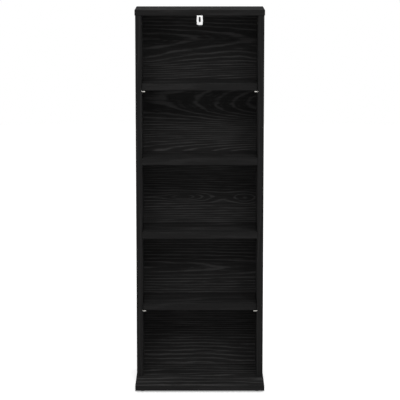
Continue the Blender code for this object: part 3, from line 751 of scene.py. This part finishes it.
def fitting_rows_tree():
    """Sets one fitting out at the corners of a box, and turns those on the right to face the left."""
    tree = bpy.data.node_groups.new("fitting_rows", "GeometryNodeTree")
    for label, in_out, kind in (
        ("Fitting", "INPUT", "Geometry"),
        ("Middle", "INPUT", "Vector"),
        ("Spans", "INPUT", "Vector"),
        ("Left Turn", "INPUT", "Vector"),
        ("Finish", "INPUT", "Material"),
        ("Fittings", "OUTPUT", "Geometry"),
    ):
        tree.interface.new_socket(label, in_out=in_out, socket_type="NodeSocket" + kind)
    graph = Graph(tree)
    given = graph.node("NodeGroupInput").outputs
    made = graph.node("NodeGroupOutput").inputs
    corners = graph.node("GeometryNodeMeshCube", {"Size": given["Spans"]}).outputs["Mesh"]
    places = graph.node("GeometryNodeMergeByDistance", {"Geometry": corners}).outputs[0]
    x = graph.split(graph.node("GeometryNodeInputPosition").outputs[0])[0]
    half_turn = graph.math("MULTIPLY", graph.math("GREATER_THAN", x, WELD_DISTANCE), math.pi)
    turn = graph.vector("ADD", given["Left Turn"], graph.join(0.0, 0.0, half_turn))
    set_out = graph.node("GeometryNodeInstanceOnPoints", {
        "Points": places,
        "Instance": given["Fitting"],
        "Rotation": turn,
    }).outputs[0]
    moved = graph.node("GeometryNodeTranslateInstances", {
        "Instances": set_out,
        "Translation": given["Middle"],
        "Local Space": False,
    }).outputs[0]
    real = graph.node("GeometryNodeRealizeInstances", {"Geometry": moved}).outputs[0]
    finished = graph.node("GeometryNodeSetMaterial", {"Geometry": real, "Material": given["Finish"]})
    graph.feed(made["Fittings"], finished.outputs[0])
    return tree


def set_out_fittings(name, mesh, places, finish, nodes, left_turn=(0, 0, 0)):
    """One piece of all the fittings of a kind, at the corners of the box that spans their places."""
    low = Vector([min(place[axis] for place in places) for axis in range(3)])
    high = Vector([max(place[axis] for place in places) for axis in range(3)])
    values = {
        "Middle": (low + high) / 2,
        "Spans": high - low,
        "Left Turn": left_turn,
        "Finish": finish,
    }
    mesh.materials.append(finish)
    single = add_object(name + "_single", mesh)
    modifier = single.modifiers.new("rows", "NODES")
    modifier.node_group = FITTING_ROWS
    for item in FITTING_ROWS.interface.items_tree:
        if item.in_out == "INPUT" and item.name in values:
            modifier[item.identifier] = values[item.name]
    shaped = single.evaluated_get(bpy.context.evaluated_depsgraph_get())
    result = bpy.data.meshes.new_from_object(shaped)
    bpy.data.objects.remove(single)
    piece = add_object(name, result)
    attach(piece, "carcass")
    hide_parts(*nodes)


def middle_of(node):
    """Middle of a node's box."""
    low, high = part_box(node)
    return (low + high) / 2


def foot_of(node):
    """Middle of the underside of a node's box."""
    low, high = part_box(node)
    return Vector(((low.x + high.x) / 2, (low.y + high.y) / 2, low.z))


def corner_nodes(stem, order="{stem}_{end}_{side}"):
    """Names of the four nodes of a kind, one at each corner."""
    return [order.format(stem=stem, end=end, side=side) for end in ENDS for side in SIDES]


def add_rings(bm, rings):
    """Skins a row of closed rings of vertices, from the first to the last."""
    for lower, upper in zip(rings, rings[1:]):
        for index in range(len(lower)):
            after = (index + 1) % len(lower)
            bm.faces.new((lower[index], lower[after], upper[after], upper[index]))


def cross_points(radius, height):
    """Outline of a cross recess, as points at one height."""
    long, short = radius * RECESS_LENGTH, radius * RECESS_WIDTH
    corners = ((long, -short), (long, short), (short, short))
    points = []
    for quarter in range(4):
        turn = Matrix.Rotation(quarter * math.pi / 2, 3, "Z")
        points += [turn @ Vector((x, y, height)) for x, y in corners]
    return points


def ring_edges(bm, ring):
    """Edges of a closed ring of vertices."""
    return [bm.edges.get(pair) for pair in zip(ring, ring[1:] + ring[:1])]


def add_recess(bm, rim, radius, height):
    """Face of a screw head inside its rim, with a cross recess that narrows towards its floor."""
    mouth = [bm.verts.new(point) for point in cross_points(radius, height)]
    floor_height = height + radius * RECESS_DEPTH
    floor_points = [point * RECESS_FLOOR for point in cross_points(radius, 0)]
    bottom = [bm.verts.new((x, y, floor_height)) for x, y, _ in floor_points]
    add_rings(bm, [mouth, bottom])
    bm.faces.new(bottom)
    edges = ring_edges(bm, rim) + ring_edges(bm, mouth)
    bmesh.ops.triangle_fill(bm, use_beauty=True, use_dissolve=False, edges=edges)


def screw(name, head, root, crest, pitch, smooth_end, tip, point):
    """A screw that stands on its head: turned head, cross recess, plain neck, thread and point."""
    bm = bmesh.new()
    angles = [2 * math.pi * step / THREAD_FACETS for step in range(THREAD_FACETS)]

    def ring(radii, height):
        return [
            bm.verts.new((radius * math.cos(angle), radius * math.sin(angle), height))
            for radius, angle in zip(radii, angles)
        ]

    def thread_radius(angle, height):
        turns = (height - smooth_end) / pitch - angle / (2 * math.pi)
        ridge = max(0.0, 1 - abs(turns - round(turns)) / RIDGE_HALF_WIDTH)
        narrow = min(1.0, (tip - height) / point)
        fade_in = min(1.0, (height - smooth_end) / pitch)
        return narrow * (root + (crest - root) * ridge * fade_in)

    rings = [ring([radius] * THREAD_FACETS, height) for radius, height in head]
    steps = math.ceil((tip - smooth_end) / pitch * THREAD_STEPS)
    for step in range(steps):
        height = smooth_end + (tip - smooth_end) * step / steps
        rings.append(ring([thread_radius(angle, height) for angle in angles], height))
    add_rings(bm, rings)
    top = bm.verts.new((0, 0, tip))
    for index, vert in enumerate(rings[-1]):
        bm.faces.new((vert, rings[-1][(index + 1) % THREAD_FACETS], top))
    add_recess(bm, rings[0], *head[0])
    return mesh_from(name, bm)


def base_screws(zinc):
    """Long zinc screws that hold the sides on the base, with their heads sunk in its underside."""
    nodes = corner_nodes("base_screw")
    low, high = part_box(nodes[0])
    head_radius = (high.x - low.x) / 2
    head = [
        (head_radius - SCREW_HEAD_RIM, 0),
        (head_radius, SCREW_HEAD_RIM),
        (SCREW_NECK, SCREW_HEAD_HEIGHT),
        (SCREW_NECK, SCREW_SMOOTH),
    ]
    mesh = screw(
        "base_screw", head, SCREW_ROOT, SCREW_CREST, SCREW_PITCH, SCREW_SMOOTH,
        high.z - low.z, SCREW_POINT,
    )
    places = [foot_of(node) for node in nodes]
    set_out_fittings("base_screws", mesh, places, zinc, nodes)


def bracket_screws(zinc):
    """Two round-headed screws that hold the wall bracket up to the top panel."""
    nodes = ["bracket_screw_" + end for end in ENDS]
    low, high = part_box(nodes[0])
    dome = arc((0, 1), 1, BRACKET_SCREW_DOME_START - math.pi / 2, 0)
    head = [
        (x * BRACKET_SCREW_HEAD_RADIUS, z * BRACKET_SCREW_HEAD_HEIGHT) for x, z in dome
    ]
    head[0] = (head[0][0], 0)
    head.append((BRACKET_SCREW_CREST, BRACKET_SCREW_HEAD_HEIGHT))
    head.append((BRACKET_SCREW_CREST, BRACKET_SCREW_SMOOTH))
    mesh = screw(
        "bracket_screw", head, BRACKET_SCREW_ROOT, BRACKET_SCREW_CREST, BRACKET_SCREW_PITCH,
        BRACKET_SCREW_SMOOTH, high.z - low.z, BRACKET_SCREW_POINT,
    )
    places = [foot_of(node) for node in nodes]
    set_out_fittings("bracket_screws", mesh, places, zinc, nodes)


def glides():
    """Black plastic glides with rounded rims, sunk in the middle for their nails."""
    nodes = corner_nodes("glide", "{end}_{side}_{stem}")
    low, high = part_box(nodes[0])
    radius, height = (high.x - low.x) / 2, high.z - low.z
    profile = [
        (GLIDE_HOLE, height),
        (GLIDE_HOLE, GLIDE_SUNK_DEPTH),
        (GLIDE_SUNK_RADIUS, GLIDE_SUNK_DEPTH),
        (GLIDE_SUNK_RADIUS, 0),
        *arc((radius - GLIDE_ROUND, GLIDE_ROUND), GLIDE_ROUND, -math.pi / 2, 0),
        (radius, height),
    ]
    places = [foot_of(node) for node in nodes]
    mesh = turned("glide", profile, ring=True)
    set_out_fittings("glides", mesh, places, black_plastic(), nodes)


def glide_nails(zinc):
    """The nail that holds each glide, with its head sunk in the glide."""
    nodes = corner_nodes("glide_nail", "{end}_{side}_{stem}")
    low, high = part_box(nodes[0])
    radius, length = (high.x - low.x) / 2, high.z - low.z
    profile = [
        (0, 0),
        *arc((radius - NAIL_HEAD_ROUND, NAIL_HEAD_ROUND), NAIL_HEAD_ROUND, -math.pi / 2, 0),
        (radius, NAIL_HEAD_HEIGHT),
        (NAIL_RADIUS, NAIL_HEAD_HEIGHT),
        (NAIL_RADIUS, length - NAIL_POINT),
        (0, length),
    ]
    places = [foot_of(node) for node in nodes]
    mesh = turned("glide_nail", profile)
    set_out_fittings("glide_nails", mesh, places, zinc, nodes)


def shelf_pins(nickel):
    """Nickel shelf pins with a rounded end and a fine turned groove."""
    nodes = []
    for shelf in LOOSE_SHELVES:
        nodes += corner_nodes(shelf, "{stem}_{end}_{side}_pin")
    low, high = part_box(nodes[0])
    length = high.x - low.x
    stub = (high.z - low.z) / 2
    shank_end = PIN_STUB_LENGTH - length
    profile = [
        (0, shank_end),
        (PIN_SHANK_RADIUS - PIN_ROUND, shank_end),
        (PIN_SHANK_RADIUS, shank_end + PIN_ROUND),
        (PIN_SHANK_RADIUS, PIN_SEAT),
        (stub, PIN_SEAT),
        (stub, PIN_GROOVE_PLACE - PIN_GROOVE_DEPTH),
        (stub - PIN_GROOVE_DEPTH, PIN_GROOVE_PLACE),
        (stub, PIN_GROOVE_PLACE + PIN_GROOVE_DEPTH),
        *arc((stub - PIN_ROUND, PIN_STUB_LENGTH - PIN_ROUND), PIN_ROUND, 0, math.pi / 2),
        (0, PIN_STUB_LENGTH),
    ]
    places = []
    for node in nodes:
        place = middle_of(node)
        inwards = -1 if place.x > 0 else 1
        place.x += inwards * (length / 2 - PIN_STUB_LENGTH)
        places.append(place)
    mesh = turned("shelf_pin", profile)
    left_turn = (0, math.pi / 2, 0)
    set_out_fittings("shelf_pins", mesh, places, nickel, nodes, left_turn)


def floor():
    """Pale floor, lit like the rest and white to the camera, that keeps the shelf's shadow."""
    bm = bmesh.new()
    bmesh.ops.create_circle(bm, cap_ends=True, segments=FLOOR_FACETS, radius=FLOOR_RADIUS)
    bmesh.ops.translate(bm, verts=bm.verts, vec=(0, 0, -FLOOR_DROP))
    mesh = bpy.data.meshes.new("floor")
    bm.to_mesh(mesh)
    bm.free()
    obj = add_object("floor", mesh)
    material, graph, shader, _ = new_material("floor_paint")
    shader["Base Color"].default_value = FLOOR_PAINT
    shader["Roughness"].default_value = 1.0
    shader["Specular IOR Level"].default_value = 0.0
    shader["Emission Color"].default_value = (1, 1, 1, 1)
    graph.feed(shader["Emission Strength"], graph.math("MULTIPLY", seen(graph), FLOOR_GLOW))
    mesh.materials.append(material)


def seen(graph):
    """One for a ray from the camera, or one that reflection or glass turns back to the room."""
    rays = graph.node("ShaderNodeLightPath").outputs
    bent = graph.math("MAXIMUM", rays["Is Glossy Ray"], rays["Is Transmission Ray"])
    return graph.math("MAXIMUM", rays["Is Camera Ray"], bent)


def room():
    """White surroundings, and the soft light that they send from all round."""
    world = bpy.data.worlds.new("room")
    world.use_nodes = True
    graph = Graph(world.node_tree)
    background = world.node_tree.nodes["Background"].inputs
    background["Color"].default_value = (1, 1, 1, 1)
    graph.feed(background["Strength"], graph.between(seen(graph), ROOM_LIGHT, 1.0))
    bpy.context.scene.world = world


def lamp(name, kind, power, place, aim):
    """A lamp at a place, turned to what it is aimed at."""
    light = bpy.data.lights.new(name, kind)
    light.energy = power
    obj = add_object(name, light)
    obj.location = place
    obj.rotation_euler = (aim - place).to_track_quat("-Z", "Y").to_euler()
    return obj, light


def soft_box():
    """The one large soft light, in front, above and a little to the right."""
    _, light = lamp("soft_box", "AREA", SOFT_BOX_POWER, SOFT_BOX_PLACE, SOFT_BOX_AIM)
    light.shape = "RECTANGLE"
    light.size, light.size_y = SOFT_BOX_SIZE


def bracket_lamp():
    """A narrow beam on the wall bracket, which stays white in its dark compartment."""
    obj, light = lamp(
        "bracket_lamp", "SPOT", BRACKET_LAMP_POWER, BRACKET_LAMP_PLACE, BRACKET_LAMP_AIM
    )
    light.shadow_soft_size = 0
    light.spot_size = BRACKET_LAMP_ANGLE
    light.spot_blend = BRACKET_LAMP_BLEND
    obj.scale = BRACKET_LAMP_NARROWING


def camera():
    """The camera, in front and above, pitched down at the shelf."""
    data = bpy.data.cameras.new("camera")
    data.lens = CAMERA_LENS
    data.sensor_width = CAMERA_SENSOR
    obj = add_object("camera", data)
    obj.location = CAMERA_PLACE
    obj.rotation_euler = (math.pi / 2 - CAMERA_PITCH, 0, 0)
    bpy.context.scene.camera = obj


OAK_PRINT = oak_print_group()
CHIPBOARD = chipboard_group()
HARDBOARD = hardboard_group()
HEART = heart_group()
SWIRL = swirl_group()
FITTING_ROWS = fitting_rows_tree()

camera()
room()
soft_box()
bracket_lamp()
floor()
dress_boards()
ZINC = metal("die_cast_zinc", ZINC_LIGHT, ZINC_DARK, ZINC_ROUGHNESS, ZINC_CELLS)
NICKEL = metal("nickel", NICKEL_LIGHT, NICKEL_DARK, NICKEL_ROUGHNESS, NICKEL_CELLS)
dress_joints(ZINC)
shelf_pins(NICKEL)
base_screws(ZINC)
bracket_screws(ZINC)
glides()
glide_nails(ZINC)
bpy.context.scene.view_settings.view_transform = "Standard"
